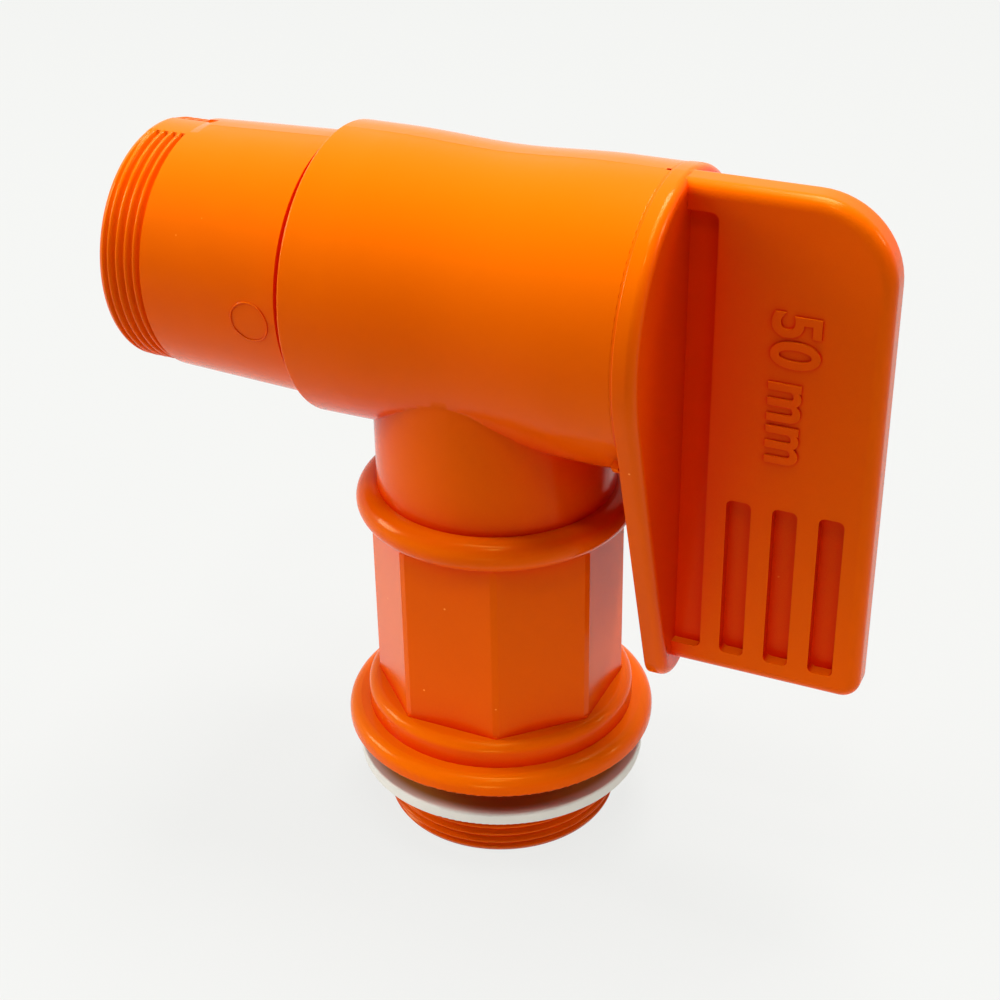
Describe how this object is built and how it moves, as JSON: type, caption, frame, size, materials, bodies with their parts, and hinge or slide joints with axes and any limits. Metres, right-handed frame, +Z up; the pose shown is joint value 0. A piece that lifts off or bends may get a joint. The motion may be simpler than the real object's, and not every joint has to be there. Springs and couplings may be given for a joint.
{
  "type": "drum tap",
  "caption": "Plastic drum tap: threaded stem with flange and gasket, lying barrel, turning plug with a threaded spout at one end and a flat lever at the other.",
  "frame": {"origin": "centre of the inlet end of the stem, where the drum thread starts", "axes": "+Z up the stem, away from the drum; +X along the barrel towards the lever; the spout points to -X"},
  "size_m": [0.1816, 0.0784, 0.1765],
  "materials": {
    "orange_body": "moulded, satin gloss",
    "orange_plug": "moulded, satin gloss",
    "white_gasket": "soft, matt",
    "seal_rubber": "matt"
  },
  "bodies": {
    "body": {"valve_body": "orange_body", "bung_gasket": "white_gasket"},
    "plug": {"spout_plug": "orange_plug", "spout_side_o_ring": "seal_rubber", "lever_side_o_ring": "seal_rubber"}
  },
  "joints": [
    {"name": "lever_turn", "type": "hinge", "parent": "body", "child": "plug", "pos_m": [0, 0, 0.1415], "axis": [1, 0, 0], "range_deg": [0, 90]}
  ]
}
